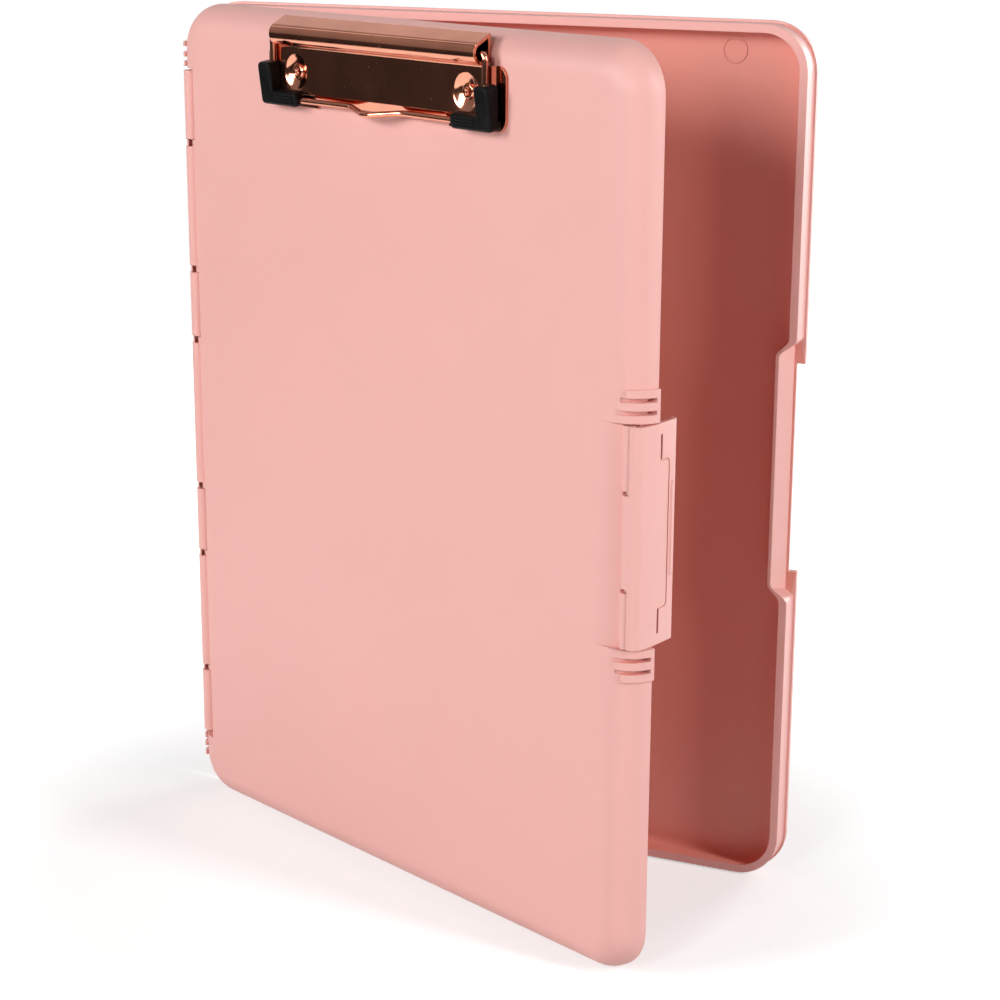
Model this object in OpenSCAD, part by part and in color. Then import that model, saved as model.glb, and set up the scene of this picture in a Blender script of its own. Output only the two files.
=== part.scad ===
// Storage clipboard box: a shallow hinged case whose front cover is a
// clipboard, with a swinging side latch and a spring clip on the cover.
// Units are millimetres, +Z is up and the case's back faces +Y.
//
// Everything is drawn closed first: x runs from the hinge side to the latch
// side, y = 0 is the parting plane and z = 0 is the bottom edge. The cover and
// all it carries are then turned about the hinge by cover_open.

/* [Overall size] */
// Width of the closed box, hinge side to latch side
box_width = 246; // [220:1:280]
// Height of the closed box
box_height = 318; // [290:1:360]
// Depth of the cover, parting plane to clipboard face
cover_depth = 11.5; // [11.5:0.5:20]
// Depth of the case, parting plane to back face
case_depth = 11; // [11:0.5:40]
// Plan radius of the four corners
corner_radius = 17; // [14:0.5:24]

/* [Pose] */
// Angle the cover stands open
cover_open = 23; // [0:1:180]
// Angle the latch is swung out
latch_open = 0; // [0:1:110]
// Angle the clip's bail is lifted
bail_lift = 0; // [0:1:100]

/* [Shells] */
// Rounding of the cover's front edge
cover_edge_radius = 11; // [6:0.5:11]
// Wall thickness of the cover
cover_wall = 2.4; // [1.8:0.1:3]
// Gap left between the two rims when closed
rim_gap = 0.3; // [0.2:0.1:0.8]
// Thickness of the case's rim
case_rim = 3; // [2:0.1:4]
// Set-back of the case's side walls from its back plate
case_set_back = 0.8; // [0.4:0.1:1.5]
// Thickness of the case's back plate where it shows at the edge
plate_edge = 2.8; // [2:0.1:4]
// Rounding of the back plate's rear edge
plate_edge_radius = 1.2; // [0.5:0.1:2]
// Thickness of the case's floor
case_floor = 2; // [1.5:0.1:3]
// Fillet between the case's floor and walls
floor_fillet = 2.5; // [1:0.5:5]

/* [Main hinge] */
// Hinge axis, in from the hinge side
hinge_in = 3.2; // [3:0.1:5]
// Hinge axis, forward of the parting plane
hinge_forward = 6.5; // [5:0.1:8]
// Radius of the hinge barrel
barrel_radius = 3; // [2.5:0.1:4]
// Distance of the barrel's ends from the top and bottom edges
hinge_end = 25.2; // [22:0.2:40]
// Height of each window between knuckles
window_height = 2.8; // [2:0.1:4]
// Radius of the hinge pin
pin_radius = 1.25; // [1:0.05:1.5]
// Running clearance between a pin and its moving knuckles
pin_clearance = 0.05; // [0.02:0.01:0.1]

/* [Latch] */
// Half the height of the latch
latch_half = 37.8; // [30:0.2:45]
// Latch axis, in from the latch side
latch_in = 4.7; // [4:0.1:6]
// Latch axis, forward of the parting plane
latch_forward = 8.5; // [7:0.1:9.5]
// Radius of the latch barrel
latch_barrel = 2; // [1.8:0.1:2.5]
// Half the height of the latch's own middle knuckle
latch_knuckle_half = 15.8; // [10:0.1:18]
// Distance of that knuckle's middle below mid-height
latch_knuckle_drop = 1.2; // [0:0.1:3]
// Height of the windows beside the middle knuckle
latch_window = 1.5; // [1:0.1:3]
// Radius of the latch pin
latch_pin_radius = 0.8; // [0.6:0.05:1]
// Half the height of the recess for the latch in the case's rim
recess_half = 42.3; // [39:0.1:50]
// Length of the curve that leads into the recess
recess_run = 6.7; // [4:0.1:10]
// Half the height of the notch in the back plate
notch_half = 39; // [38.5:0.1:42]
// Length of the cover's slope down to the latch barrel
bay_run = 16.5; // [14:0.5:20]

/* [Grip ribs] */
// Offsets from mid-height where the ribs beside the latch start
rib_offsets = [38.5, 42.7, 46.9];
// Set-in of each rib's start from the latch side
rib_starts = [11, 8, 5];
// Height of one rib
rib_height = 2.75; // [2:0.05:3]
// How far the ribs stand proud
rib_proud = 1; // [0.5:0.1:1.5]
// How far the small ribs beside the hinge stand proud
bump_proud = 1.4; // [0.5:0.1:1.6]

/* [Clip] */
// Distance of the plate's lower edge below the cover's top edge
plate_low = 32.5; // [30:0.5:36]
// Thickness of the clip's sheet
sheet = 1; // [0.8:0.1:1.2]
// Height of the embossed flat above the board
flat_height = 2.8; // [2:0.1:3.5]
// Half the width of the rolled hood
hood_half = 54.5; // [48:0.5:60]
// Outer radius of the rolled hood
hood_radius = 3.9; // [3.5:0.1:4.2]
// Radius of the bail's wire
wire_radius = 1.1; // [0.9:0.05:1.3]
// Distance of each rivet in from the end of the hood
rivet_in = 9.1; // [8:0.1:14]
// Distance of the rivets below the cover's top edge
rivet_drop = 20.2; // [19:0.2:20.6]
// Radius of the dish pressed round each rivet
dish_radius = 6.75; // [5:0.05:6.8]

/* [Hidden] */
$fn = 64;
eps = 0.01;
over = 1;
far = 60;
mid = box_height / 2;
axis_x = hinge_in;
axis_y = -hinge_forward;
catch_x = box_width - latch_in;
catch_y = -latch_forward;
clear = 0.35;

// Main hinge: where the barrel is broken by windows, and its small end ribs
barrel_half = mid - hinge_end;
window_offsets = [29.7, 57.6, barrel_half - 27.3];
bump_offsets = [barrel_half + 2.6, barrel_half + 6.1, barrel_half + 10];
bump_half = 0.9;
bump_end = -2.6;
sleeve_radius = barrel_radius - 0.4;
sleeve_gap = 0.3;
pocket_turn = 47;
pocket_width = 1.8;

// Cover channel for the hinge barrel
channel_half = barrel_half + 1.2;
channel_x = axis_x + barrel_radius + 1;
channel_y = -7.4;
bevel_x = 10.8;
channel_wall = cover_wall;
clear_rim_x = 4;
clear_rim_y = -1.2;

// Recess for the latch
latch_bay_half = latch_half + 0.5;
bay_x = box_width - 7;
bay_wall = 1.6;
recess_x = box_width - 7.2;
recess_skin = 1.3;
recess_lean = 3.2;
recess_steps = 8;
rim_x = box_width - case_set_back;
ledge_y = case_depth - plate_edge;
lip_x = box_width - 3.1;
lip_thickness = 1.2;
rebate_x = box_width - 4.6;

// Slope of the cover's face down to the latch barrel
slope_x = box_width - bay_run;
slope_radius = 16.6;

// Slots between the grip ribs
slot_band = 1.8;
slot_radius = cover_edge_radius - 1;
slot_in = 12.5;
slot_floor_y = -1.95;

// Latch section
bend_radius = 3.3;
bend_x = box_width - 2.6;
bend_y = -6.9;
latch_wall = 1.6;
knuckle_top = latch_knuckle_half - latch_knuckle_drop;
knuckle_low = -latch_knuckle_half - latch_knuckle_drop;
panel_top_x = box_width + 0.4;
panel_low_x = box_width - 1.8;
panel_top_y = -2;
panel_low_y = 10.2;
panel_lean = atan((panel_top_x - panel_low_x) / (panel_low_y - panel_top_y));
hook_back = 11;
hook_front = 9.7;
hook_x = box_width - 4.2;
finger_half = 16;
finger_raise = 1;
slit_start = latch_half - 12.5;
slit_length = 8.7;
slit_width = 1;
slit_y = 1.6;
groove_width = 0.6;
groove_half = slit_start + 0.3;
groove_reach = 9.2;
groove_corner = 2;

// Origin: under the middle of the whole part as it stands
rib_reach = (box_width - cover_edge_radius + rib_proud - axis_x) * sin(cover_open)
    + (cover_depth - cover_edge_radius + axis_y) * cos(cover_open) + cover_edge_radius;
latch_reach = (bend_x - axis_x) * sin(cover_open)
    + (axis_y - bend_y) * cos(cover_open) + bend_radius;
front_reach = max(rib_reach, latch_reach) - axis_y;
origin_y = (case_depth - front_reach) / 2;

// Clip section, in u = up from the cover's top edge and v = out from the face
hood_u = -hood_radius - 3.2;
hood_v = 3.6;
leg_turn = 62;
return_end = -10;
bend_fillet = 1;
flat_top = hood_u - hood_radius;
flat_low = -27.5;
draft = 1;
flat_corner = 4;
ridge_low = -31;
rivet_x = hood_half - rivet_in;
rivet_hole = 1.6;
dish_depth = flat_height - sheet;
ball_radius = (pow(dish_radius, 2) + pow(dish_depth, 2)) / (2 * dish_depth);
seat_radius = 2.9;

// Bail
pivot_u = hood_u;
pivot_v = hood_v + 0.6;
leg_x = hood_half + 2.1;
bail_u = -29.9;
bail_v = 4.4;
thumb_v = 8;

// Corner caps, as distances below the cover's top edge and out from the face
cap_in = leg_x - 2.2;
cap_out = cap_in + 7;
cap_high = 16.6;
cap_low = 31.8;
cap_base = sheet + 0.3;
cap_depth = 5;
cap_tilt = 7.5;
foot_in = cap_out - 20.2;
foot_height = 5.4;
washer_thickness = 0.6;
rivet_low = -cover_wall - washer_thickness - 0.6;
flat_half = cap_out - 3.4;
plate_half = cap_out + 1.6;
ridge_half = hood_half - 19.5;

// ---------------------------------------------------------------- helpers

module closed_to_row() {
  translate([-box_width / 2, -origin_y, 0]) children();
}

module with_cover() {
  closed_to_row()
    translate([axis_x, axis_y, 0])
      rotate([0, 0, -cover_open])
        translate([-axis_x, -axis_y, 0]) children();
}

module with_latch() {
  with_cover()
    translate([catch_x, catch_y, 0])
      rotate([0, 0, -latch_open])
        translate([-catch_x, -catch_y, 0]) children();
}

// Clip frame: x from the cover's centre line, y up from its top edge and
// z out from the clipboard face.
module on_face() {
  with_cover()
    translate([box_width / 2, -cover_depth, box_height])
      rotate([90, 0, 0]) children();
}

module with_bail() {
  on_face()
    translate([0, pivot_u, pivot_v])
      rotate([-bail_lift, 0, 0])
        translate([0, -pivot_u, -pivot_v]) children();
}

module both_halves() {
  translate([0, 0, mid]) children();
  translate([0, 0, mid]) mirror([0, 0, 1]) children();
}

// Extrudes a plan drawn in x and z from y_from to y_to.
module along_y(y_from, y_to) {
  translate([0, y_to, 0])
    rotate([90, 0, 0]) linear_extrude(y_to - y_from) children();
}

// Extrudes a section drawn in x and y from z_from to z_to.
module along_z(z_from, z_to) {
  translate([0, 0, z_from]) linear_extrude(z_to - z_from) children();
}

// Extrudes a section drawn in y and z from x_from to x_to.
module along_x(x_from, x_to) {
  translate([x_from, 0, 0])
    rotate([90, 0, 90]) linear_extrude(x_to - x_from) children();
}

module rounded_rect(width, height, radius) {
  translate([radius, 0]) square([width - 2 * radius, height]);
  translate([0, radius]) square([width, height - 2 * radius]);
  for (x = [radius, width - radius])
    for (z = [radius, height - radius])
      translate([x, z]) circle(r = radius);
}

module pillow_section(span, depth, edge_r, extra) {
  intersection() {
    union() {
      translate([edge_r, -depth]) square([span - 2 * edge_r, depth + extra]);
      translate([0, edge_r - depth]) square([span, depth - edge_r + extra]);
      translate([edge_r, edge_r - depth]) circle(r = edge_r);
      translate([span - edge_r, edge_r - depth]) circle(r = edge_r);
    }
    translate([0, -depth]) square([span, depth + extra]);
  }
}

module pillow_corner(depth, plan_r, edge_r, extra) {
  rotate([90, 0, 0])
    translate([0, 0, -extra])
      rotate_extrude()
        intersection() {
          square([plan_r, depth + extra]);
          union() {
            square([plan_r - edge_r, depth + extra]);
            square([plan_r, depth - edge_r + extra]);
            translate([plan_r - edge_r, depth - edge_r + extra]) circle(r = edge_r);
          }
        }
}

// Flat-backed block with its back on y = 0, its face towards -Y, rounded
// corners in plan and a rounded front edge.
module pillow(width, height, depth, plan_r, edge_r, extra = 0) {
  along_z(plan_r, height - plan_r)
    pillow_section(width, depth, edge_r, extra);
  along_x(plan_r, width - plan_r)
    rotate(90) mirror([0, 1]) pillow_section(height, depth, edge_r, extra);
  for (x = [plan_r, width - plan_r])
    for (z = [plan_r, height - plan_r])
      translate([x, 0, z]) pillow_corner(depth, plan_r, edge_r, extra);
}

function s_curve(x0, z0, x1, z1) =
  [for (i = [0 : recess_steps])
    let (t = i / recess_steps)
    [x0 + (x1 - x0) * (1 - cos(180 * t)) / 2, z0 + (z1 - z0) * t]];

module rod(a, b, r) {
  d = b - a;
  reach = norm(d);
  translate(a)
    rotate([0, acos(d[2] / reach), atan2(d[1], d[0])])
      cylinder(h = reach, r = r);
}

// ---------------------------------------------------------------- rear case

// Plan of the recess as seen on the rim: half of it, above mid-height.
module recess_plan(x_deep, x_mouth, half, run) {
  side = s_curve(x_deep, half, x_mouth, half + run);
  tail = [[box_width + far, half + run], [box_width + far, -half - run]];
  low = [for (i = [recess_steps : -1 : 0]) [side[i][0], -side[i][1]]];
  translate([0, mid]) polygon(concat(side, tail, low));
}

module lean_section(x_front) {
  polygon([
    [x_front - over * recess_lean / ledge_y, -over],
    [box_width + far, -over],
    [box_width + far, ledge_y],
    [x_front + recess_lean, ledge_y]
  ]);
}

module recess_space(x_front, half) {
  intersection() {
    along_y(-over, ledge_y)
      recess_plan(x_front, rim_x, half, recess_run);
    along_z(0, box_height) lean_section(x_front);
  }
}

module recess_skin_block() {
  intersection() {
    along_y(0, ledge_y + eps)
      recess_plan(
        recess_x - recess_skin, rim_x - case_rim, recess_half, recess_run);
    along_z(0, box_height) lean_section(recess_x - recess_skin);
    cube([rim_x - case_rim / 2, case_depth, box_height]);
  }
}

module case_knuckle(z_from, z_to) {
  along_z(mid + z_from, mid + z_to) {
    translate([axis_x, axis_y]) circle(r = barrel_radius);
    translate([case_set_back, axis_y])
      square([axis_x + 1 - case_set_back, hinge_forward]);
  }
}

module case_shell() {
  difference() {
    union() {
      along_y(0, ledge_y + over)
        translate([case_set_back, case_set_back])
          rounded_rect(
            box_width - 2 * case_set_back,
            box_height - 2 * case_set_back,
            corner_radius - case_set_back);
      translate([0, ledge_y, 0])
        mirror([0, 1, 0])
          pillow(box_width, box_height, plate_edge, corner_radius, plate_edge_radius);
      translate([case_set_back, -3.1, mid - barrel_half + 0.5])
        cube([case_rim, 4, 2 * barrel_half - 1]);
    }
    translate([case_set_back + case_rim, 0, case_set_back + case_rim])
      mirror([0, 1, 0])
        pillow(
          box_width - 2 * (case_set_back + case_rim),
          box_height - 2 * (case_set_back + case_rim),
          case_depth - case_floor,
          corner_radius - case_set_back - case_rim,
          floor_fillet,
          over);
  }
}

module rear_case() {
  color([0.93, 0.66, 0.62])
  closed_to_row()
  difference() {
    union() {
      case_shell();
      recess_skin_block();
      case_knuckle(-barrel_half, -window_offsets[2] - window_height / 2);
      case_knuckle(
        -window_offsets[1] + window_height / 2,
        -window_offsets[0] - window_height / 2);
      case_knuckle(
        window_offsets[0] + window_height / 2,
        window_offsets[1] - window_height / 2);
      case_knuckle(window_offsets[2] + window_height / 2, barrel_half);
      // moulding ring on the floor
      translate([box_width - 30.4, case_depth - case_floor + eps, box_height - 10.7])
        rotate([90, 0, 0])
          difference() {
            cylinder(h = 0.25, r = 4.7);
            translate([0, 0, -over]) cylinder(h = 4, r = 4);
          }
    }
    recess_space(recess_x, recess_half);
    // notch in the back plate and the rebate the latch hooks into
    translate([lip_x, ledge_y - eps, mid - notch_half])
      cube([far, far, 2 * notch_half]);
    translate([rebate_x, ledge_y + lip_thickness, mid - notch_half])
      cube([far, far, 2 * notch_half]);
    // hinge bore, closed at the top
    translate([axis_x, axis_y, mid - barrel_half - over])
      cylinder(h = 2 * barrel_half - 2 + over, r = pin_radius);
  }
}

// ---------------------------------------------------------------- front cover

// Band of the section between two radii round the edge's own centre.
module ring_section(r_in, r_out, x_start) {
  intersection() {
    translate([box_width - cover_edge_radius, cover_edge_radius - cover_depth])
      difference() {
        circle(r = r_out);
        circle(r = r_in);
      }
    translate([x_start, -far]) square([far, far - rim_gap]);
  }
}

// Section of a rib: the rounded edge moved outwards, so it rises gradually.
module rib_section(x_start) {
  intersection() {
    translate([
        box_width - cover_edge_radius + rib_proud,
        cover_edge_radius - cover_depth])
      difference() {
        circle(r = cover_edge_radius);
        circle(r = cover_edge_radius - 2);
      }
    translate([x_start, -far]) square([far, far - rim_gap]);
  }
}

module grip_ribs() {
  both_halves()
    for (i = [0 : 2])
      along_z(rib_offsets[i], rib_offsets[i] + rib_height)
        rib_section(box_width - rib_starts[i]);
  both_halves()
    along_z(rib_offsets[0], rib_offsets[2] + rib_height)
      intersection() {
        rib_section(box_width - 4);
        translate([0, -slot_band]) square([2 * box_width, far]);
      }
}

module grip_slots() {
  both_halves()
    for (i = [0 : 1])
      along_z(rib_offsets[i] + rib_height, rib_offsets[i + 1])
        difference() {
          translate([box_width - rib_starts[i] + 1, -far])
            square([far, far - slot_band]);
          translate([box_width - slot_in, slot_floor_y]) circle(r = slot_radius);
        }
}

module hinge_bumps() {
  both_halves()
    for (z = bump_offsets)
      along_z(z - bump_half, z + bump_half)
        intersection() {
          translate([cover_edge_radius, cover_edge_radius - cover_depth])
            circle(r = cover_edge_radius + bump_proud);
          translate([-far, -9.6]) square([far + 3.6, 9.6 + bump_end]);
        }
}

module cover_shell() {
  difference() {
    pillow(box_width, box_height, cover_depth, corner_radius, cover_edge_radius);
    difference() {
      translate([cover_wall, 0, cover_wall])
        pillow(
          box_width - 2 * cover_wall,
          box_height - 2 * cover_wall,
          cover_depth - cover_wall,
          corner_radius - cover_wall,
          cover_edge_radius - cover_wall,
          over);
      cover_liners();
    }
    translate([-over, -rim_gap, -over])
      cube([box_width + 2 * over, far, box_height + 2 * over]);
    // the rim beside the barrel's ends stays clear of the case as it turns
    translate([-over, clear_rim_y, -over])
      cube([clear_rim_x + over, far, box_height + 2 * over]);
  }
}

// Walls that line the hinge channel and the latch bay from inside.
module cover_liners() {
  translate([-over, -cover_depth, mid - channel_half - channel_wall])
    cube([
      channel_x + channel_wall + over,
      cover_depth,
      2 * (channel_half + channel_wall)]);
  along_z(mid - latch_bay_half - 2, mid + latch_bay_half + 2)
    polygon([
      [slope_x - 1.5, -cover_depth],
      [slope_x + 0.5, -cover_depth + 5],
      [bay_x - bay_wall, -cover_depth + 5.4],
      [bay_x - bay_wall, 0],
      [box_width, 0],
      [box_width, -cover_depth]
    ]);
  both_halves()
    along_z(rib_offsets[0] - 2, rib_offsets[2] + rib_height + 2)
      ring_section(cover_edge_radius - 4, cover_edge_radius, box_width - 11);
}

module hinge_channel() {
  along_z(mid - channel_half, mid + channel_half)
    polygon([
      [-over, over],
      [-over, -cover_depth - over],
      [bevel_x + 0.88 * over, -cover_depth - over],
      [bevel_x, -cover_depth],
      [channel_x, channel_y],
      [channel_x, over]
    ]);
}

module latch_bay() {
  along_z(mid - latch_bay_half, mid + latch_bay_half) {
    translate([bay_x, -far]) square([far, 2 * far]);
    difference() {
      translate([slope_x, -far]) square([far, far]);
      translate([slope_x, slope_radius - cover_depth]) circle(r = slope_radius);
    }
  }
}

module cover_knuckle(z_from, z_to) {
  along_z(mid + z_from, mid + z_to) {
    translate([axis_x, axis_y]) circle(r = barrel_radius);
    translate([axis_x, axis_y - 1.7])
      square([channel_x + 1 - axis_x, 2.8]);
  }
}

// Thinner stretch of a cover knuckle that fills a window of the barrel, with a
// pocket in its side that leaves the pin in view.
module window_sleeve(z_from, z_to) {
  along_z(z_from, z_to)
    difference() {
      union() {
        translate([axis_x, axis_y]) circle(r = sleeve_radius);
        translate([axis_x, axis_y - 1.7])
          square([channel_x + 1 - axis_x, 2.8]);
      }
      translate([axis_x, axis_y])
        rotate(pocket_turn)
          translate([-pocket_width, -far]) square([pocket_width, far + 0.3]);
    }
}

module window_sleeves() {
  half = window_height / 2;
  both_halves() {
    window_sleeve(window_offsets[0] - half - eps, window_offsets[0] + half - sleeve_gap);
    window_sleeve(window_offsets[1] - half + sleeve_gap, window_offsets[1] + half + eps);
    window_sleeve(window_offsets[2] - half - eps, window_offsets[2] + half - sleeve_gap);
  }
}

module latch_knuckle(z_from, z_to) {
  along_z(mid + z_from, mid + z_to)
    difference() {
      union() {
        translate([catch_x, catch_y]) circle(r = latch_barrel);
        polygon([
          [bay_x - 1.2, catch_y + 0.2],
          [catch_x - 1.2, catch_y - 1.6],
          [catch_x, catch_y],
          [catch_x, catch_y + latch_barrel],
          [bay_x - 1.2, catch_y + 2.6]
        ]);
      }
      translate([catch_x, catch_y]) circle(r = latch_pin_radius);
    }
}

module front_cover() {
  color([0.94, 0.71, 0.68])
  with_cover()
  difference() {
    union() {
      difference() {
        union() {
          cover_shell();
          grip_ribs();
          hinge_bumps();
        }
        hinge_channel();
        latch_bay();
        grip_slots();
      }
      cover_knuckle(
        -window_offsets[2] + window_height / 2,
        -window_offsets[1] - window_height / 2);
      cover_knuckle(
        -window_offsets[0] + window_height / 2,
        window_offsets[0] - window_height / 2);
      cover_knuckle(
        window_offsets[1] + window_height / 2,
        window_offsets[2] - window_height / 2);
      window_sleeves();
      latch_knuckle(knuckle_top + latch_window, latch_half);
      latch_knuckle(-latch_half, knuckle_low - latch_window);
    }
    // hinge bore
    translate([axis_x, axis_y, mid - barrel_half])
      cylinder(h = 2 * barrel_half, r = pin_radius + pin_clearance);
    // pocket round the latch's own knuckle
    translate([catch_x, catch_y, mid + knuckle_low - latch_window])
      cylinder(
        h = 2 * (latch_knuckle_half + latch_window),
        r = latch_barrel + clear);
    // rivet holes
    for (x = [-rivet_x, rivet_x])
      translate([box_width / 2 + x, 0, box_height - rivet_drop])
        rotate([90, 0, 0]) cylinder(h = far, r = rivet_hole);
  }
}

module hinge_pin() {
  color([0.75, 0.75, 0.77])
  closed_to_row()
    translate([axis_x, axis_y, mid - barrel_half + 0.5])
      cylinder(h = 2 * barrel_half - 3, r = pin_radius);
}

// ---------------------------------------------------------------- latch

module latch_section() {
  // leaning panel and its hook
  polygon([
    [bend_x + bend_radius, bend_y],
    [panel_top_x, panel_top_y],
    [panel_low_x, panel_low_y],
    [panel_low_x - 0.6, hook_back],
    [hook_x, hook_back],
    [hook_x, hook_front],
    [hook_x + 1.5, hook_front],
    [panel_low_x - 0.75, hook_front - 1.7],
    [panel_top_x - latch_wall, panel_top_y],
    [bend_x + bend_radius - latch_wall, bend_y]
  ]);
  // rounded shoulder
  intersection() {
    translate([bend_x, bend_y])
      difference() {
        circle(r = bend_radius);
        circle(r = bend_radius - latch_wall);
      }
    translate([bend_x - 1, bend_y - 2 * bend_radius])
      square([3 * bend_radius, 2 * bend_radius + eps]);
  }
}

// Open outline pressed into the panel, from one slit round to the other.
module latch_groove() {
  translate([panel_top_x, panel_top_y, mid])
    rotate([0, 0, panel_lean])
      translate([-0.4, 0, -groove_half])
        rotate([90, 0, 90])
          linear_extrude(4)
            intersection() {
              difference() {
                rounded_rect(groove_reach, 2 * groove_half, groove_corner);
                translate([groove_width, groove_width])
                  rounded_rect(
                    groove_reach - 2 * groove_width,
                    2 * (groove_half - groove_width),
                    groove_corner - groove_width);
              }
              translate([slit_y - panel_top_y + slit_width / 2, 0])
                square([groove_reach, 2 * groove_half]);
            }
}

module latch() {
  color([0.95, 0.70, 0.66])
  with_latch()
  difference() {
    union() {
      difference() {
        along_z(mid - latch_half, mid + latch_half) latch_section();
        along_z(mid + knuckle_top, mid + latch_half + over)
          translate([catch_x, catch_y]) circle(r = latch_barrel + 0.3);
        along_z(mid - latch_half - over, mid + knuckle_low)
          translate([catch_x, catch_y]) circle(r = latch_barrel + 0.3);
      }
      along_z(mid + knuckle_low, mid + knuckle_top) {
        translate([catch_x, catch_y]) circle(r = latch_barrel);
        polygon([
          [catch_x, catch_y - latch_barrel],
          [bend_x, bend_y - bend_radius],
          [bend_x, bend_y - bend_radius + latch_wall],
          [catch_x + 1, catch_y + 1.6]
        ]);
      }
      // finger lip
      along_z(mid + finger_raise - finger_half, mid + finger_raise + finger_half)
        polygon([
          [panel_low_x - 0.2, panel_low_y - 2.8],
          [panel_low_x + 0.9, panel_low_y - 1.9],
          [panel_low_x + 0.75, panel_low_y - 1.2],
          [panel_low_x - 0.2, panel_low_y - 0.6]
        ]);
    }
    translate([catch_x, catch_y, mid - latch_half - over])
      cylinder(h = 2 * (latch_half + over), r = latch_pin_radius + pin_clearance);
    both_halves()
      translate([box_width - 5, slit_y, slit_start])
        cube([10, slit_width, slit_length]);
    latch_groove();
  }
}

module latch_pin() {
  color([0.75, 0.75, 0.77])
  with_cover()
    translate([catch_x, catch_y, mid - latch_half + 0.5])
      cylinder(h = 2 * latch_half - 1, r = latch_pin_radius);
}

// ---------------------------------------------------------------- clip

// Embossed flat with sloping sides, set in by inset, from low up to top.
module flat_block(inset, low, top) {
  wide = flat_half + draft - inset;
  edge = flat_low - draft + inset;
  intersection() {
    translate([-wide, edge, low])
      linear_extrude(top - low)
        rounded_rect(2 * wide, flat_top - edge + flat_corner, flat_corner - inset);
    along_y(edge - over, flat_top)
      polygon([
        [-wide, low],
        [-wide, 0],
        [draft - wide, top],
        [wide - draft, top],
        [wide, 0],
        [wide, low]
      ]);
    along_x(-wide - over, wide + over)
      polygon([
        [edge, low],
        [edge, 0],
        [edge + draft, top],
        [flat_top, top],
        [flat_top, low]
      ]);
  }
}

// Rolled sheet: up from the flat, over the bail, down again and back under.
module hood_section() {
  centre = [hood_u, hood_v];
  out = [sin(leg_turn), cos(leg_turn)];
  down = [cos(leg_turn), -sin(leg_turn)];
  outer = centre + hood_radius * out;
  inner = centre + (hood_radius - sheet) * out;
  run_out = outer[1] / sin(leg_turn);
  run_in = (inner[1] - sheet) / sin(leg_turn);
  intersection() {
    translate(centre)
      difference() {
        circle(r = hood_radius);
        circle(r = hood_radius - sheet);
      }
    translate(centre)
      polygon([[0, 0], [-10, 0], [-10, 10], [10 * tan(leg_turn), 10]]);
  }
  translate([flat_top - eps, flat_height - sheet])
    square([sheet + eps, hood_v - flat_height + sheet + eps]);
  polygon([
    outer,
    outer + run_out * down,
    [return_end, 0],
    [return_end, sheet],
    inner + run_in * down,
    inner
  ]);
  // concave bend where the hood rises from the flat
  difference() {
    translate([flat_top - bend_fillet, flat_height - sheet])
      square([bend_fillet + eps, bend_fillet + sheet]);
    translate([flat_top - bend_fillet, flat_height + bend_fillet])
      circle(r = bend_fillet);
  }
}

// Pressed dish round a rivet, as a solid (grow = sheet) or as its hollow.
module dish(grow) {
  translate([0, 0, sheet + ball_radius]) sphere(r = ball_radius + grow);
}

module rivet_places() {
  for (x = [-rivet_x, rivet_x])
    translate([x, -rivet_drop, 0]) children();
}

module clip_plate() {
  color([0.62, 0.40, 0.31])
  on_face()
  difference() {
    union() {
      difference() {
        union() {
          linear_extrude(sheet)
            difference() {
              translate([-plate_half, -plate_low])
                rounded_rect(2 * plate_half, plate_low + flat_top, 4);
              translate([-ridge_half, -plate_low - over])
                square([2 * ridge_half, 2.6 + over]);
            }
          flat_block(0, 0, flat_height);
        }
        flat_block(sheet, -over, flat_height - sheet);
      }
      along_x(-hood_half, hood_half) hood_section();
      along_x(-ridge_half, ridge_half)
        polygon([
          [flat_low + sheet, flat_height],
          [flat_low - 0.1, flat_height],
          [ridge_low, sheet - 0.1],
          [ridge_low, 0],
          [ridge_low + sheet, 0],
          [flat_low + sheet, flat_height - sheet]
        ]);
      rivet_places() {
        cylinder(h = sheet, r = seat_radius + sheet);
        intersection() {
          dish(sheet);
          cylinder(h = flat_height - eps, r = dish_radius + 0.5);
        }
      }
    }
    rivet_places() {
      dish(0);
      translate([0, 0, sheet]) cylinder(h = far, r = seat_radius);
      translate([0, 0, -over]) cylinder(h = 2 * over + sheet, r = rivet_hole);
    }
  }
}

module bail_side() {
  points = [
    [hood_half - 3.5, pivot_u, pivot_v],
    [leg_x, pivot_u, pivot_v],
    [leg_x, bail_u, bail_v],
    [14, bail_u, bail_v - 1.1],
    [2, bail_u - 1.3, thumb_v]
  ];
  for (i = [0 : len(points) - 2])
    rod(points[i], points[i + 1], wire_radius);
  for (i = [1 : len(points) - 1])
    translate(points[i]) sphere(r = 1.01 * wire_radius);
}

module clip_bail() {
  color([0.72, 0.48, 0.38])
  with_bail() {
    bail_side();
    mirror([1, 0, 0]) bail_side();
    rod([-2, bail_u - 1.3, thumb_v], [2, bail_u - 1.3, thumb_v], wire_radius);
  }
}

// Soft cap over each corner of the bail: a leg beside the hood and a ribbed
// foot that grips the paper. It leans back towards its foot.
module corner_cap() {
  foot_ribs = 4;
  difference() {
    translate([0, -cap_low, cap_base])
      rotate([cap_tilt, 0, 0]) {
        translate([cap_in, 0, 0])
          rotate([-90, 0, 0])
            pillow(cap_out - cap_in, cap_low - cap_high, cap_depth, 1.8, 1.2);
        translate([foot_in, 0, 0])
          rotate([-90, 0, 0])
            pillow(cap_out - foot_in, foot_height, cap_depth, 1.8, 1.2);
        for (i = [0 : foot_ribs - 1])
          translate([foot_in + 1.6, 0.9 + 1.1 * i, cap_depth - 0.5])
            cube([10.5, 0.55, 0.8]);
      }
    // relief over the clip's embossed flat
    translate([0, flat_low - draft - 0.3, -over])
      cube([far + plate_half, far, flat_height + 0.3 + over]);
  }
}

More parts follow.
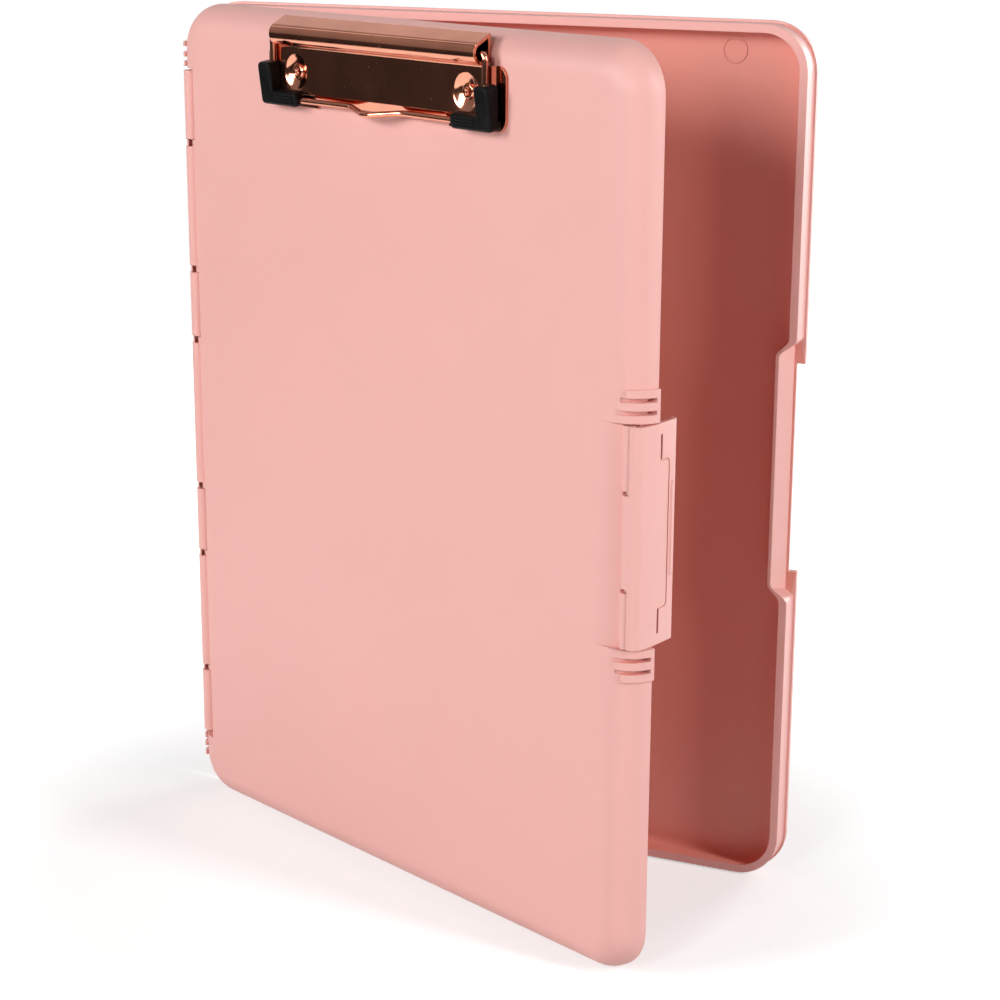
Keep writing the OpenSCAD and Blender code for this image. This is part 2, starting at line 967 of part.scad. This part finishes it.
module left_corner_cap() {
  color([0.07, 0.06, 0.06])
  with_bail() mirror([1, 0, 0]) corner_cap();
}

module right_corner_cap() {
  color([0.07, 0.06, 0.06])
  with_bail() corner_cap();
}

// Hollow rivet through the clip's plate, the board and the washer inside.
module rivet(x) {
  on_face()
    translate([x, -rivet_drop, 0])
      difference() {
        union() {
          translate([0, 0, rivet_low]) cylinder(h = sheet - rivet_low + 0.1, r = 1.5);
          translate([0, 0, sheet]) cylinder(h = 0.5, r = 2.7);
          translate([0, 0, sheet + 0.5]) cylinder(h = 0.4, r1 = 2.7, r2 = 2.2);
          translate([0, 0, rivet_low]) cylinder(h = 0.6, r = 2.4);
        }
        translate([0, 0, rivet_low - over]) cylinder(h = 6 + over, r = 0.8);
        translate([0, 0, sheet + 0.2]) cylinder(h = over, r1 = 0.9, r2 = 1.7);
      }
}

module washer(x) {
  on_face()
    translate([x, -rivet_drop, -cover_wall - washer_thickness])
      difference() {
        cylinder(h = washer_thickness, r = 3.6);
        translate([0, 0, -over]) cylinder(h = 2 * over + 1, r = rivet_hole);
      }
}

module left_rivet() {
  color([0.70, 0.48, 0.38]) rivet(-rivet_x);
}

module right_rivet() {
  color([0.70, 0.48, 0.38]) rivet(rivet_x);
}

module left_washer() {
  color([0.75, 0.75, 0.77]) washer(-rivet_x);
}

module right_washer() {
  color([0.75, 0.75, 0.77]) washer(rivet_x);
}

rear_case();
front_cover();
hinge_pin();
latch();
latch_pin();
clip_plate();
clip_bail();
left_corner_cap();
right_corner_cap();
left_rivet();
right_rivet();
left_washer();
right_washer();
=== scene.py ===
import math

import bmesh
import bpy
from mathutils import Matrix, Vector


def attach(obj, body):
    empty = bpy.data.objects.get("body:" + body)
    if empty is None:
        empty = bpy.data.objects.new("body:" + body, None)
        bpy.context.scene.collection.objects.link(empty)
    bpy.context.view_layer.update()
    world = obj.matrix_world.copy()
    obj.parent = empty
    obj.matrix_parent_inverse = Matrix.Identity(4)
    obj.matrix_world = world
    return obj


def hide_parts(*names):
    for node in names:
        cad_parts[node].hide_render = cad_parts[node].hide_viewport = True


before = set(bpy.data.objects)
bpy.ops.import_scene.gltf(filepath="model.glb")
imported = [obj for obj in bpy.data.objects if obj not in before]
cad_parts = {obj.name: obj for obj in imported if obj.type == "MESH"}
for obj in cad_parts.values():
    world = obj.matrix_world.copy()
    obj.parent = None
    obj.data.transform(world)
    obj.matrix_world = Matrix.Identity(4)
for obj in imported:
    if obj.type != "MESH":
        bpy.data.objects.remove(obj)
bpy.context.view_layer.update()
scene = bpy.context.scene

MM = 0.001

# ---------------------------------------------------------------- sizes
# Millimetres in the closed box's own frame, as in the part's source.
WIDTH, HEIGHT = 246.0, 318.0
COVER_DEPTH, CASE_DEPTH = 11.5, 11.0
AXIS = (3.2, -6.5)
OPEN = math.radians(23)
# The bend of the latch stands furthest forward once the cover is open, and
# the whole part is centred between it and the case's back.
BEND = (WIDTH - 2.6, -6.9)
BEND_RADIUS = 3.3
REACH = (
    (BEND[0] - AXIS[0]) * math.sin(OPEN)
    + (AXIS[1] - BEND[1]) * math.cos(OPEN)
    + BEND_RADIUS - AXIS[1]
)
ORIGIN_Y = (CASE_DEPTH - REACH) / 2


def turn(x, y, angle):
    """A direction seen from above, turned anticlockwise."""
    c, s = math.cos(angle), math.sin(angle)
    return c * x - s * y, s * x + c * y


def case_point(x, y, z):
    """A point of the closed box in the row frame, in metres."""
    return Vector(((x - WIDTH / 2) * MM, (y - ORIGIN_Y) * MM, z * MM))


def cover_point(x, y, z):
    """A point of the closed cover, carried to where the cover stands."""
    dx, dy = turn(x - AXIS[0], y - AXIS[1], -OPEN)
    return case_point(AXIS[0] + dx, AXIS[1] + dy, z)


def face_point(x, up, out):
    """x from the cover's centre line, up from its top edge, out from its face."""
    return cover_point(WIDTH / 2 + x, -COVER_DEPTH - out, HEIGHT + up)


def place(name, data):
    """A new object in the scene that shows the data."""
    obj = bpy.data.objects.new(name, data)
    scene.collection.objects.link(obj)
    return obj


# ---------------------------------------------------------------- node trees
def srgb(r, g, b):
    """A colour given as screen values from 0 to 255, in linear light."""
    def lin(v):
        v = v / 255
        return v / 12.92 if v <= 0.04045 else ((v + 0.055) / 1.055) ** 2.4
    return (lin(r), lin(g), lin(b), 1.0)


def scaled(colour, share):
    """A colour made lighter or darker by that share."""
    return [min(1, v * share) for v in colour[:3]] + [1]


class Nodes:
    """A material's or world's node tree, with short ways to build it."""

    def __init__(self, owner, shader="Principled BSDF"):
        owner.use_nodes = True
        self.owner = owner
        self.tree = owner.node_tree
        self.shader = self.tree.nodes[shader]

    def feed(self, socket, value):
        """Link another node's output to a socket, or set a constant on it."""
        if isinstance(value, bpy.types.NodeSocket):
            self.tree.links.new(value, socket)
        else:
            socket.default_value = value

    def shade(self, values):
        """Feed the shader's own sockets, by their names."""
        for name, value in values.items():
            self.feed(self.shader.inputs[name], value)

    def add(self, kind, inputs=None, **settings):
        """A node with these settings, and these inputs by name or place."""
        node = self.tree.nodes.new(kind)
        for key, value in settings.items():
            setattr(node, key, value)
        for key, value in (inputs or {}).items():
            self.feed(node.inputs[key], value)
        return node

    def math(self, operation, *values):
        node = self.add("ShaderNodeMath", dict(enumerate(values)), operation=operation)
        return node.outputs[0]

    def mix(self, factor, low, high):
        """A number between two others."""
        inputs = {0: factor, 2: low, 3: high}
        return self.add("ShaderNodeMix", inputs, data_type="FLOAT").outputs[0]

    def tint(self, factor, dark, light):
        """A colour between two others."""
        inputs = {0: factor, 6: dark, 7: light}
        return self.add("ShaderNodeMix", inputs, data_type="RGBA").outputs[2]

    def object_place(self):
        return self.add("ShaderNodeTexCoord").outputs["Object"]

    def noise(self, scale, detail=2.0, roughness=0.5, at=None):
        node = self.add("ShaderNodeTexNoise", {
            "Scale": scale,
            "Detail": detail,
            "Roughness": roughness,
            "Vector": at or self.object_place(),
        })
        return node.outputs["Fac"]

    def ramp(self, source, low, high, dark, light):
        node = self.add("ShaderNodeValToRGB", {"Fac": source})
        first, last = node.color_ramp.elements
        first.position, first.color = low, dark
        last.position, last.color = high, light
        return node.outputs["Color"]

    def spread(self, source, low, high, to_low, to_high, interpolation="LINEAR"):
        """The range from low to high, carried over to another range."""
        node = self.add("ShaderNodeMapRange", {
            "Value": source,
            "From Min": low,
            "From Max": high,
            "To Min": to_low,
            "To Max": to_high,
        }, interpolation_type=interpolation)
        return node.outputs[0]

    def curve(self, source, table):
        """Levels against one component of a direction, joined by lines."""
        along_curve = self.math("MULTIPLY_ADD", source, 0.5, 0.5)
        node = self.add("ShaderNodeFloatCurve", {"Value": along_curve})
        points = node.mapping.curves[0].points
        while len(points) < len(table):
            points.new(0.5, 0.5)
        for point, (along, level) in zip(points, table):
            point.location = (0.5 + 0.5 * along, level)
            point.handle_type = "VECTOR"
        node.mapping.update()
        return node.outputs[0]

    def bump(self, edge, *reliefs):
        """Round the edges, then add each (height, strength, distance) in turn,
        with the edge's radius and the distances in metres."""
        node = self.add("ShaderNodeBevel", {"Radius": edge}, samples=4)
        for height, strength, distance in reliefs:
            node = self.add("ShaderNodeBump", {
                "Height": height,
                "Strength": strength,
                "Distance": distance,
                "Normal": node.outputs["Normal"],
            })
        self.shade({"Normal": node.outputs["Normal"]})


# ---------------------------------------------------------------- materials
def plastic(name, colour, rough=0.5, edge=0.00035):
    """Moulded polypropylene: a fine spark-eroded grain and a soft satin."""
    m = Nodes(bpy.data.materials.new(name))
    grain = m.noise(scale=3800, roughness=0.55)
    fine_grain = m.noise(scale=9000, detail=1.0)
    flow = m.noise(scale=11, detail=3.0)
    patch = m.noise(scale=55, detail=4.0)
    flow_tone = m.spread(flow, 0.3, 0.7, 0.0, 1.0)
    m.shade({
        "Base Color": m.tint(flow_tone, scaled(colour, 0.985), scaled(colour, 1.01)),
        "Roughness": m.spread(patch, 0.3, 0.7, rough - 0.04, rough + 0.05),
        "IOR": 1.46,
        "Specular IOR Level": 0.8,
    })
    m.bump(edge, (grain, 0.16, 0.00006), (fine_grain, 0.08, 0.00003))
    return m.owner


def plated(name, colour, rough=0.09, edge=0.0003):
    """Polished copper-coloured plating with faint drawing lines and haze."""
    m = Nodes(bpy.data.materials.new(name))
    along_lines = m.add("ShaderNodeMapping", {
        "Vector": m.object_place(),
        "Scale": (30, 30, 2600),
    })
    lines = m.noise(scale=1.0, detail=3.0, at=along_lines.outputs["Vector"])
    haze = m.noise(scale=70, detail=4.0)
    specks = m.noise(scale=1500, detail=1.0)
    haze_tone = m.spread(haze, 0.35, 0.65, 0.0, 1.0)
    haze_rough = m.spread(haze, 0.3, 0.7, rough - 0.03, rough + 0.05)
    dust_rough = m.spread(specks, 0.74, 0.8, 0.0, 0.22)
    m.shade({
        "Base Color": m.tint(haze_tone, scaled(colour, 0.86), colour),
        "Metallic": 1.0,
        "Roughness": m.math("ADD", dust_rough, haze_rough),
    })
    m.bump(edge, (lines, 0.02, 0.00003), (haze, 0.08, 0.0003))
    return m.owner


def rubber(name):
    """Soft black caps, nearly matt, with a few paler scuffs."""
    m = Nodes(bpy.data.materials.new(name))
    grain = m.noise(scale=2600, detail=3.0)
    scuff = m.noise(scale=260, detail=4.0)
    m.shade({
        "Base Color": m.ramp(scuff, 0.35, 0.8, srgb(6, 5, 5), srgb(16, 14, 14)),
        "Roughness": m.spread(scuff, 0.3, 0.7, 0.36, 0.5),
        "Specular IOR Level": 0.12,
    })
    m.bump(0.0005, (grain, 0.2, 0.00008))
    return m.owner


def steel(name):
    """Drawn steel of the pins and washers, with a pinkish tone that is a painted
    reflection of the pink plastic around them.
    """
    m = Nodes(bpy.data.materials.new(name))
    drawn = m.noise(scale=900, detail=3.0)
    # Painted reflection: the pinkish tone stands in for the pink plastic that the
    # steel mirrors
    dark, light = srgb(176, 132, 122), srgb(206, 164, 152)
    m.shade({
        "Base Color": m.ramp(drawn, 0.3, 0.7, dark, light),
        "Metallic": 1.0,
        "Roughness": m.spread(drawn, 0.3, 0.7, 0.22, 0.36),
    })
    m.bump(0.0002, (drawn, 0.05, 0.00005))
    return m.owner


PINK = srgb(238, 178, 170)
LATCH_ROUGH, LATCH_EDGE = 0.44, 0.00025
INNER_ROUGH = 0.44
pink = plastic("salmon_plastic", PINK)
# Painted shade, a choice for the look: the inner faces get a deeper colour that stands
# in for the darker, redder shade inside the box, and are also taken as smoother
pink_inner_painted_shade = plastic("salmon_plastic_inner_painted_shade", srgb(237, 156, 142), INNER_ROUGH)
pink_latch = plastic("salmon_plastic_latch", PINK, LATCH_ROUGH, LATCH_EDGE)
copper = plated("rose_copper", srgb(224, 148, 120))
black = rubber("black_cap_rubber")
pin_steel_painted_reflection = steel("drawn_steel_painted_reflection")

# ---------------------------------------------------------------- pieces
# The inner faces' painted shade and smoother finish start this far in from the outline
# and from the opening, and leave out the outer skin, the hinge's barrel and the
# barrel's roots.
INNER_MARGIN = 1.4
INNER_START = 0.4
OUTER_SKIN = 1.0
BARREL_ZONE = 4.3
# A floor's normal points this far out of the opening. A wall's normal, times
# the way to the middle in millimetres, is over LOOKS_AT_MIDDLE, and the wall
# may lean a little away from the opening.
LOOKS_OUT = 0.5
LOOKS_AT_MIDDLE = 9.0
LEANS_AWAY = -0.3
# Vertices of a CAD mesh this close together, in metres, are one vertex
SAME_VERTEX = 2e-6
# Above 50, larger faces count for more in the normals that faces share
AREA_WEIGHT = 80


def is_inner(centre, normal, on_cover):
    """Whether a face of a shell looks into the closed box's inside."""
    x, y, z = (v / MM for v in centre)
    x, y = x + WIDTH / 2, y + ORIGIN_Y
    nx, ny, nz = normal
    if on_cover:
        dx, dy = turn(x - AXIS[0], y - AXIS[1], OPEN)
        x, y = AXIS[0] + dx, AXIS[1] + dy
        nx, ny = turn(nx, ny, OPEN)
    if min(x, WIDTH - x, z, HEIGHT - z) < INNER_MARGIN:
        return False
    if math.hypot(x - AXIS[0], y - AXIS[1]) < BARREL_ZONE:
        return False
    inward = -1 if on_cover else 1
    depth, outlook = inward * y, -inward * ny
    if not INNER_START < depth < CASE_DEPTH - OUTER_SKIN:
        return False
    to_middle = (WIDTH / 2 - x) * nx + (HEIGHT / 2 - z) * nz
    is_wall = to_middle > LOOKS_AT_MIDDLE and outlook > LEANS_AWAY
    return outlook > LOOKS_OUT or is_wall


def dress(node, name, body, material, inner=None, sharp=32):
    """A smooth-shaded copy of a CAD node that stands for it."""
    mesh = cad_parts[node].data.copy()
    mesh.name = name
    bm = bmesh.new()
    bm.from_mesh(mesh)
    bmesh.ops.remove_doubles(bm, verts=bm.verts, dist=SAME_VERTEX)
    for face in bm.faces:
        face.smooth = True
    for edge in bm.edges:
        joined = len(edge.link_faces) == 2
        edge.smooth = joined and edge.calc_face_angle(0) < math.radians(sharp)
    bm.to_mesh(mesh)
    bm.free()
    mesh.materials.clear()
    mesh.materials.append(material)
    # Faces that look into the box's inside take the second material, whose deeper
    # colour is painted shade
    if inner:
        mesh.materials.append(inner)
        for face in mesh.polygons:
            if is_inner(face.center, face.normal, body == "cover"):
                face.material_index = 1
    obj = place(name, mesh)
    weigh = obj.modifiers.new("weighted normals", "WEIGHTED_NORMAL")
    weigh.keep_sharp = True
    weigh.weight = AREA_WEIGHT
    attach(obj, body)
    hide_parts(node)


dress("rear_case", "case_moulding", "case", pink, pink_inner_painted_shade)
dress("front_cover", "cover_moulding", "cover", pink, pink_inner_painted_shade)
dress("latch", "latch_moulding", "latch", pink_latch)
dress("clip_plate", "clip_pressing", "cover", copper)
for side in ("left", "right"):
    dress(f"{side}_rivet", f"rivet_{side}", "cover", copper)
for side in ("left", "right"):
    dress(f"{side}_corner_cap", f"cap_{side}", "bail", black)
for node in ("hinge_pin", "latch_pin", "left_washer", "right_washer"):
    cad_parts[node].data.materials.clear()
    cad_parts[node].data.materials.append(pin_steel_painted_reflection)


# The largest share of a leg that one bend takes, and how far a wire's end
# stands out, as a share of its radius
BEND_SHARE = 0.48
END_BULGE = 0.35


def bend_path(corners, radii, steps=7):
    """A polyline with each corner rounded by an arc of about that radius."""
    path = [corners[0]]
    for i in range(1, len(corners) - 1):
        a, b, c = corners[i - 1], corners[i], corners[i + 1]
        back, ahead = (a - b), (c - b)
        reach = min(radii[i], BEND_SHARE * back.length, BEND_SHARE * ahead.length)
        start, end = b + back.normalized() * reach, b + ahead.normalized() * reach
        for k in range(steps + 1):
            t = k / steps
            path.append(start * (1 - t) ** 2 + b * 2 * t * (1 - t) + end * t * t)
    path.append(corners[-1])
    return path


def tube(name, path, radius, sides=16):
    """A round wire swept along a path without twist, with rounded ends."""
    bm = bmesh.new()
    rings = []
    side = (path[1] - path[0]).normalized().orthogonal().normalized()
    for i, point in enumerate(path):
        ahead = path[min(i + 1, len(path) - 1)]
        behind = path[max(i - 1, 0)]
        along = (ahead - behind).normalized()
        side = (side - along * side.dot(along)).normalized()
        other = along.cross(side)
        ring = []
        for k in range(sides):
            a = 2 * math.pi * k / sides
            offset = side * math.cos(a) + other * math.sin(a)
            ring.append(bm.verts.new(point + offset * radius))
        rings.append(ring)
    for a, b in zip(rings, rings[1:]):
        for k in range(sides):
            bm.faces.new((a[k], a[(k + 1) % sides], b[(k + 1) % sides], b[k]))
    for ring, point, way in (
        (rings[0], path[0], path[0] - path[1]),
        (rings[-1], path[-1], path[-1] - path[-2]),
    ):
        tip = bm.verts.new(point + way.normalized() * radius * END_BULGE)
        for k in range(sides):
            bm.faces.new((ring[k], tip, ring[(k + 1) % sides]))
    bmesh.ops.recalc_face_normals(bm, faces=bm.faces)
    for face in bm.faces:
        face.smooth = True
    mesh = bpy.data.meshes.new(name)
    bm.to_mesh(mesh)
    bm.free()
    return place(name, mesh)


WIRE_RADIUS = 1.1
# The bail's right half, from inside the hood to the thumb bump: across from
# the centre line, up from the top edge and out from the face
BAIL_HALF = (
    (51.0, -7.1, 4.2),
    (56.6, -7.1, 4.2),
    (56.6, -29.9, 4.4),
    (14.0, -29.9, 3.3),
    (2.0, -31.2, 8.0),
)
# The wire's bend at each of those points
BAIL_BENDS = (0, 2.6, 3.0, 2.4, 1.6)


def wire_bail():
    """The clip's spring wire, in the same place as the part's own bail."""
    corners = [face_point(x, up, out) for x, up, out in BAIL_HALF]
    corners += [face_point(-x, up, out) for x, up, out in reversed(BAIL_HALF)]
    radii = [r * MM for r in BAIL_BENDS + BAIL_BENDS[::-1]]
    bail = tube("bail_wire", bend_path(corners, radii), WIRE_RADIUS * MM)
    bail.data.materials.append(copper)
    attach(bail, "bail")
    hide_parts("clip_bail")


wire_bail()

# ---------------------------------------------------------------- stage
WHITE = (1, 1, 1, 1)
# How far the floor is lifted where it is seen directly, near the part and far
# from it, and the distances in metres between which the lift rises
FLOOR_LIFT, FLOOR_FAR_LIFT = 0.52, 1.05
FLOOR_NEAR, FLOOR_FAR = 0.13, 0.31
FLOOR_LEFT, FLOOR_RIGHT = -0.62, 2.4
FLOOR_FRONT, FLOOR_BACK = -1.9, 2.6
FLOOR_GREY = (0.6, 0.6, 0.6, 1)


def floor():
    """Pale paper, lifted to the backdrop's white where it is seen directly."""
    m = Nodes(bpy.data.materials.new("studio_floor"))
    ray = m.add("ShaderNodeLightPath").outputs
    direct = m.math("MAXIMUM", ray["Is Camera Ray"], ray["Is Glossy Ray"])
    seen = m.math("MAXIMUM", direct, ray["Is Transmission Ray"])
    # away from the part the lift rises, so the paper fades into the backdrop
    away = m.add("ShaderNodeVectorMath", {0: m.object_place()}, operation="LENGTH")
    rise = m.spread(
        away.outputs["Value"],
        FLOOR_NEAR, FLOOR_FAR, FLOOR_LIFT, FLOOR_FAR_LIFT, "SMOOTHSTEP")
    m.shade({
        "Base Color": FLOOR_GREY,
        "Roughness": 0.9,
        "Specular IOR Level": 0.0,
        "Emission Color": WHITE,
        "Emission Strength": m.math("MULTIPLY", seen, rise),
    })
    corners = [
        (FLOOR_LEFT, FLOOR_FRONT, 0),
        (FLOOR_RIGHT, FLOOR_FRONT, 0),
        (FLOOR_RIGHT, FLOOR_BACK, 0),
        (FLOOR_LEFT, FLOOR_BACK, 0),
    ]
    mesh = bpy.data.meshes.new("floor")
    mesh.from_pydata(corners, [], [(0, 1, 2, 3)])
    mesh.materials.append(m.owner)
    place("floor", mesh)


floor()

# The world's level for diffuse rays
AMBIENT = 0.06
# Brightness of the studio in polished metal, by how high a direction points
STUDIO = (
    (-0.40, 0.04),
    (-0.16, 0.05),
    (0.02, 0.06),
    (0.10, 0.26),
    (0.45, 0.34),
    (0.62, 0.40),
    (0.66, 0.03),
    (0.70, 0.03),
    (0.76, 0.30),
    (1.00, 0.50),
)
# and by how far back it points: a strip light, dark cloth, the white backdrop
BEHIND_START = 0.18
BEHIND = (
    (-1.00, 0.00),
    (BEHIND_START, 0.00),
    (0.21, 1.00),
    (0.30, 1.00),
    (0.33, 0.38),
    (0.46, 0.30),
    (0.62, 1.00),
    (1.00, 1.00),
)


def studio_world():
    """A white backdrop, faint ambient light and a studio for metal to mirror."""
    w = Nodes(bpy.data.worlds.new("studio"), "Background")
    scene.world = w.owner
    around = w.add("ShaderNodeTexCoord").outputs["Generated"]
    way = w.add("ShaderNodeSeparateXYZ", {0: around}).outputs
    height, depth = way["Z"], way["Y"]
    is_back = w.math("GREATER_THAN", depth, BEHIND_START)
    mirrored = w.mix(is_back, w.curve(height, STUDIO), w.curve(depth, BEHIND))
    ray = w.add("ShaderNodeLightPath").outputs
    indirect = w.mix(ray["Is Glossy Ray"], AMBIENT, mirrored)
    seen = w.math("MAXIMUM", ray["Is Camera Ray"], ray["Is Transmission Ray"])
    w.shade({"Color": WHITE, "Strength": w.mix(seen, indirect, 1.0)})


studio_world()

AIM = Vector((0, -0.02, 0.16))


def direction(azimuth, elevation):
    """The way from the part towards a lamp or the camera, from degrees."""
    az, el = math.radians(azimuth), math.radians(elevation)
    return Vector((
        math.sin(az) * math.cos(el), -math.cos(az) * math.cos(el), math.sin(el)))


def lamp(name, azimuth, elevation, distance, size, level):
    """A softbox aimed at the part. At level 1 a white surface facing it
    renders as white."""
    data = bpy.data.lights.new(name, "AREA")
    data.shape = "RECTANGLE"
    data.size, data.size_y = size
    data.energy = level * math.pi ** 2 * distance ** 2
    obj = place(name, data)
    way = direction(azimuth, elevation)
    obj.location = AIM + way * distance
    obj.rotation_euler = (-way).to_track_quat("-Z", "Y").to_euler()


# Angles in degrees, the camera's own being 24 and 16; sizes in metres
lamp("left_softbox", -44, 20, distance=1.6, size=(0.5, 0.7), level=0.61)
lamp("front_softbox", -5, 23, distance=1.6, size=(0.28, 0.4), level=0.28)
lamp("right_softbox", 81, 22, distance=1.6, size=(0.2, 0.9), level=0.68)
lamp("back_softbox", 160, 9, distance=1.8, size=(0.6, 0.5), level=0.5)

# ---------------------------------------------------------------- camera
# Fitted to the edges of both shells in the photograph: degrees, and pixels of
# a square picture for the focal length and the picture's optical centre
AZIMUTH, ELEVATION, ROLL = 24.37, 16.34, 0.26
PICTURE = 1000
FOCAL, CENTRE = 2390.18, (495.0, 540.0)
# A point that the camera looks at and how far off it stands, in millimetres
TARGET, DISTANCE = (128.21, 0.0, 119.83), 916.84
# Width of the camera's sensor, in millimetres
SENSOR = 36


def photo_camera():
    """A camera where the photograph's own stood."""
    forward = -direction(AZIMUTH, ELEVATION)
    azimuth, roll = math.radians(AZIMUTH), math.radians(ROLL)
    right = Vector((math.cos(azimuth), math.sin(azimuth), 0))
    up = right.cross(forward)
    rolled_right = right * math.cos(roll) + up * math.sin(roll)
    rolled_up = -right * math.sin(roll) + up * math.cos(roll)
    data = bpy.data.cameras.new("camera")
    data.sensor_width = SENSOR
    data.lens = FOCAL * SENSOR / PICTURE
    data.shift_x = (PICTURE / 2 - CENTRE[0]) / PICTURE
    data.shift_y = (CENTRE[1] - PICTURE / 2) / PICTURE
    data.clip_start = 0.01
    camera = place("camera", data)
    pose = Matrix((rolled_right, rolled_up, -forward)).transposed().to_4x4()
    pose.translation = case_point(*TARGET) - forward * DISTANCE * MM
    camera.matrix_world = pose
    return camera


bpy.context.scene.camera = photo_camera()
scene.view_settings.view_transform = "Standard"
